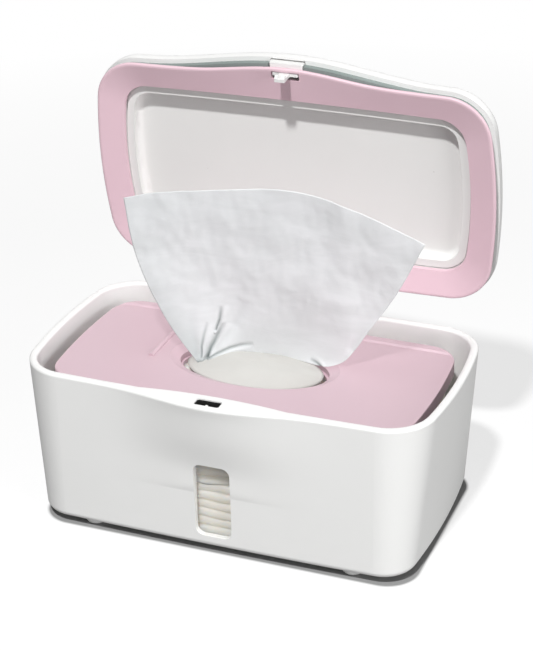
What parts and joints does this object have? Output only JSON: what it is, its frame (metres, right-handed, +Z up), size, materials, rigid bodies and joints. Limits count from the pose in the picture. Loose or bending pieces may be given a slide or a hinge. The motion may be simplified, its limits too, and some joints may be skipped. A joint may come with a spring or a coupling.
{
  "type": "wipes dispenser",
  "caption": "Rectangular wipes tub with a hinged latching lid, a clear window, a weighted pressing plate with an oval outlet and a pulled wipe.",
  "frame": {"origin": "middle of the footprint of the open dispenser, on the surface its feet stand on", "axes": "+X to the right seen from the latch side, +Y towards the hinge at the back, +Z up"},
  "size_m": [0.2296, 0.1506, 0.2351],
  "materials": {
    "white_plastic": "satin white moulding",
    "liner_plastic": "satin white tray",
    "pink_plastic": "satin dusty pink",
    "plate_pink": "satin pale pink",
    "clear_plastic": "clear",
    "grey_silicone": "matt grey-green",
    "rubber_foot": "matt grey",
    "steel": "plain",
    "cream_wipes": "moist nonwoven, cream",
    "white_wipe": "moist nonwoven, white"
  },
  "bodies": {
    "base": {"base_shell": "white_plastic", "window_lens": "clear_plastic", "latch_catch": "white_plastic", "hinge_pin": "steel", "hinge_spring": "steel", "foot_front_left": "rubber_foot", "foot_front_right": "rubber_foot", "foot_rear_left": "rubber_foot", "foot_rear_right": "rubber_foot"},
    "lid": {"lid_shell": "white_plastic", "lid_frame": "pink_plastic", "lid_gasket": "grey_silicone", "lid_liner": "liner_plastic"},
    "button": {"latch_button": "white_plastic", "latch_hook": "white_plastic", "button_spring": "steel"},
    "wipes": {"wipes_stack": "cream_wipes", "next_wipe": "cream_wipes"},
    "plate": {"plate_cover": "plate_pink", "plate_base": "plate_pink", "plate_weight_left": "steel", "plate_weight_right": "steel", "plate_screws": "steel"},
    "wipe": {"pulled_wipe": "white_wipe"}
  },
  "joints": [
    {"name": "lid_hinge", "type": "hinge", "parent": "base", "child": "lid", "pos_m": [0, 0.06315, 0.0955], "axis": [-1, 0, 0], "range_deg": [-84, 0], "stiffness_Nm_per_rad": 0.07, "springref_deg": 20.05, "deforming": ["pulled_wipe"]},
    {"name": "button_push", "type": "slide", "parent": "lid", "child": "button", "axis": [0, 0.1045, -0.9945], "range_m": [0, 0.002], "stiffness_N_per_m": 400, "springref_m": -0.001},
    {"name": "stack_lift", "type": "slide", "parent": "base", "child": "wipes", "axis": [0, 0, 1], "range_m": [0, 0.1]},
    {"name": "plate_lift", "type": "slide", "parent": "wipes", "child": "plate", "axis": [0, 0, 1], "range_m": [0, 0.1]},
    {"name": "wipe_pull", "type": "slide", "parent": "plate", "child": "wipe", "axis": [0, 0, 1], "range_m": [0, 0.1]}
  ]
}
